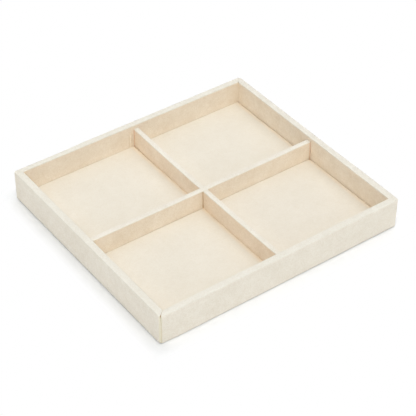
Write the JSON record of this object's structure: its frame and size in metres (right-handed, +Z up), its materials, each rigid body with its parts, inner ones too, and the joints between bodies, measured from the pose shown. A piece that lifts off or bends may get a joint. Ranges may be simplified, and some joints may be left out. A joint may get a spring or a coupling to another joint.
{
  "type": "jewelry tray",
  "caption": "Shallow rectangular tray wrapped in cream faux suede, with a half-lapped divider cross and padded floors.",
  "frame": {"origin": "on the surface the tray rests on, under the middle of the tray", "axes": "+X along the long side towards the right, +Y from the front to the back, +Z up out of the compartments"},
  "size_m": [0.22, 0.2, 0.0275],
  "materials": {
    "wrap_cloth": "matt faux suede with a short soft nap",
    "divider_cloth": "matt faux suede with a short soft nap",
    "pad_cloth": "matt faux suede with a short soft nap",
    "frame_board": "raw medium-density fibreboard, sanded faces and sawn edges",
    "divider_board": "raw medium-density fibreboard, sawn slot",
    "pad_greyboard": "uncoated greyboard",
    "bottom_paper": "matt fibrous covering paper"
  },
  "bodies": {
    "root": {"base_board": "frame_board", "bottom_sheet": "bottom_paper", "divider_board_crosswise": "divider_board", "divider_board_lengthwise": "divider_board", "divider_cover_crosswise": "divider_cloth", "divider_cover_lengthwise": "divider_cloth", "outer_wrap": "wrap_cloth", "pad_card_back_left": "pad_greyboard", "pad_card_back_right": "pad_greyboard", "pad_card_front_left": "pad_greyboard", "pad_card_front_right": "pad_greyboard", "pad_cover_back_left": "pad_cloth", "pad_cover_back_right": "pad_cloth", "pad_cover_front_left": "pad_cloth", "pad_cover_front_right": "pad_cloth", "wall_board_back": "frame_board", "wall_board_front": "frame_board", "wall_board_left": "frame_board", "wall_board_right": "frame_board"}
  },
  "joints": []
}
